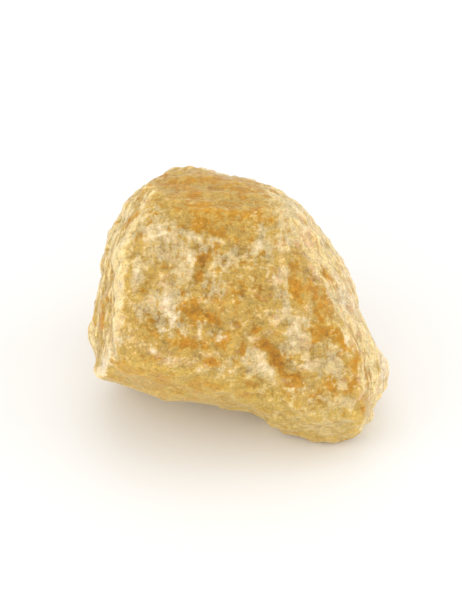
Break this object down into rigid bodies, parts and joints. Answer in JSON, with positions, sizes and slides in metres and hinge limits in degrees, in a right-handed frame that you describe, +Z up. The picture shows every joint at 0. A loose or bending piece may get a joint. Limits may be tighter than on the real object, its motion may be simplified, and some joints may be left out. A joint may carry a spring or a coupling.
{
  "type": "raw calcite",
  "caption": "Hand-sized rough lump of raw orange calcite, waxy amber with white bruises, lying on its flattest broken face.",
  "frame": {"origin": "centre of the bounding box in plan, at the level of the surface that the lump rests on", "axes": "+X along the lump's longest side, to the right as seen from its front; +Y towards its back; +Z up"},
  "size_m": [0.0908, 0.0716, 0.0685],
  "materials": {
    "raw_orange_calcite": "satin and slightly waxy, with chalky bruises"
  },
  "bodies": {
    "root": {"calcite_lump": "raw_orange_calcite"}
  },
  "joints": []
}
